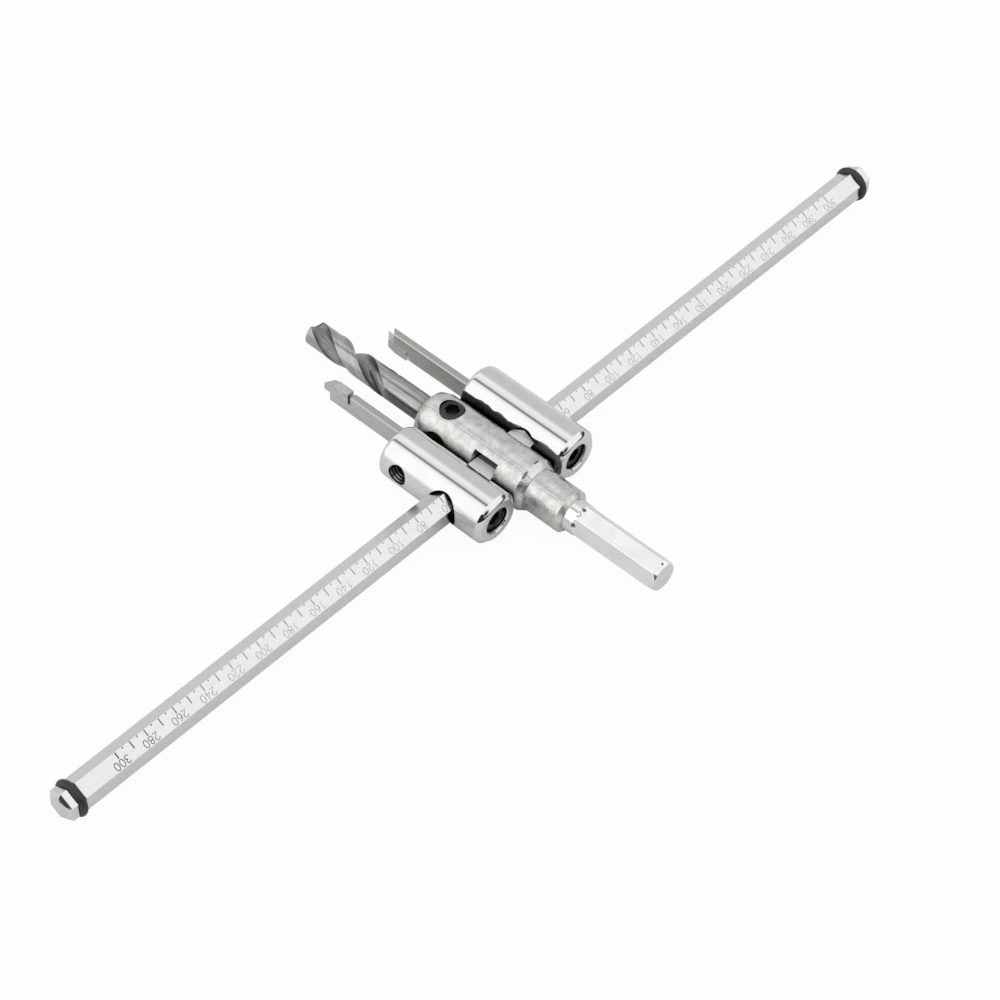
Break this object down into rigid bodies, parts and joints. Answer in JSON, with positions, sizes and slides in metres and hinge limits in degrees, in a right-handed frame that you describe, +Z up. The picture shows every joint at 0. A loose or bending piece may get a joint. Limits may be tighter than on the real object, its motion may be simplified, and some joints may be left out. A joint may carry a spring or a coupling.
{
  "type": "adjustable hole saw",
  "caption": "Adjustable hole saw: hex shank and arbor with a pilot drill, and a graduated hexagonal bar on which two round holders carry slim cutting blades.",
  "frame": {"origin": "centre of the shank's end face, on the arbor axis", "axes": "+Y along the arbor axis from the shank to the drill point, +X along the scale bar, +Z up, square to both, with the bar's ridge on top"},
  "size_m": [0.3264, 0.1338, 0.0162],
  "materials": {
    "plated_casting": "nickel-plated casting, bright and slightly mottled",
    "bright_steel": "bright machined steel",
    "satin_nickel": "satin nickel plating, stamped graduation",
    "bright_chrome": "polished chrome plating",
    "ground_steel": "ground steel, dull grey",
    "hard_metal": "ground hard metal, grey",
    "drill_steel": "ground high-speed steel, dark grey",
    "black_oxide": "black oxide, slightly oily",
    "black_rubber": "black rubber"
  },
  "bodies": {
    "tool_body": {"arbor_body": "plated_casting", "hex_shank": "bright_steel", "scale_bar": "satin_nickel", "o_ring_left": "black_rubber", "o_ring_right": "black_rubber"},
    "left_holder": {"holder_left": "bright_chrome"},
    "right_holder": {"holder_right": "bright_chrome"},
    "left_blade": {"blade_left": "ground_steel", "blade_tip_left": "hard_metal"},
    "right_blade": {"blade_right": "ground_steel", "blade_tip_right": "hard_metal"},
    "drill": {"pilot_drill": "drill_steel"},
    "top_screw": {"drill_lock_screw": "black_oxide"},
    "side_screw": {"side_lock_screw": "black_oxide"},
    "beam_screw": {"beam_lock_screw": "black_oxide"},
    "left_bar_screw": {"bar_lock_screw_left": "black_oxide"},
    "right_bar_screw": {"bar_lock_screw_right": "black_oxide"},
    "left_blade_screw": {"blade_lock_screw_left": "black_oxide"},
    "right_blade_screw": {"blade_lock_screw_right": "black_oxide"}
  },
  "joints": [
    {"name": "holder_left_slide", "type": "slide", "parent": "tool_body", "child": "left_holder", "axis": [-1, 0, 0], "range_m": [0, 0.133]},
    {"name": "holder_right_slide", "type": "slide", "parent": "tool_body", "child": "right_holder", "axis": [1, 0, 0], "range_m": [0, 0.133]},
    {"name": "blade_left_slide", "type": "slide", "parent": "left_holder", "child": "left_blade", "axis": [0, 1, 0], "range_m": [-0.0006, 0.006]},
    {"name": "blade_right_slide", "type": "slide", "parent": "right_holder", "child": "right_blade", "axis": [0, 1, 0], "range_m": [-0.0032, 0.0034]},
    {"name": "pilot_drill_slide", "type": "slide", "parent": "tool_body", "child": "drill", "axis": [0, 1, 0], "range_m": [-0.001, 0.006]},
    {"name": "drill_lock_screw_out", "type": "slide", "parent": "tool_body", "child": "top_screw", "axis": [0, 0, 1], "range_m": [0, 0.0025]},
    {"name": "side_lock_screw_out", "type": "slide", "parent": "tool_body", "child": "side_screw", "axis": [-1, 0, 0], "range_m": [0, 0.0012]},
    {"name": "beam_lock_screw_out", "type": "slide", "parent": "tool_body", "child": "beam_screw", "axis": [0, 0, -1], "range_m": [0, 0.002]},
    {"name": "bar_lock_screw_left_out", "type": "slide", "parent": "left_holder", "child": "left_bar_screw", "axis": [0, -1, 0], "range_m": [0, 0.004]},
    {"name": "bar_lock_screw_right_out", "type": "slide", "parent": "right_holder", "child": "right_bar_screw", "axis": [0, -1, 0], "range_m": [0, 0.004]},
    {"name": "blade_lock_screw_left_out", "type": "slide", "parent": "left_holder", "child": "left_blade_screw", "axis": [-1, 0, 0], "range_m": [0, 0.0035]},
    {"name": "blade_lock_screw_right_out", "type": "slide", "parent": "right_holder", "child": "right_blade_screw", "axis": [1, 0, 0], "range_m": [0, 0.0035]}
  ]
}
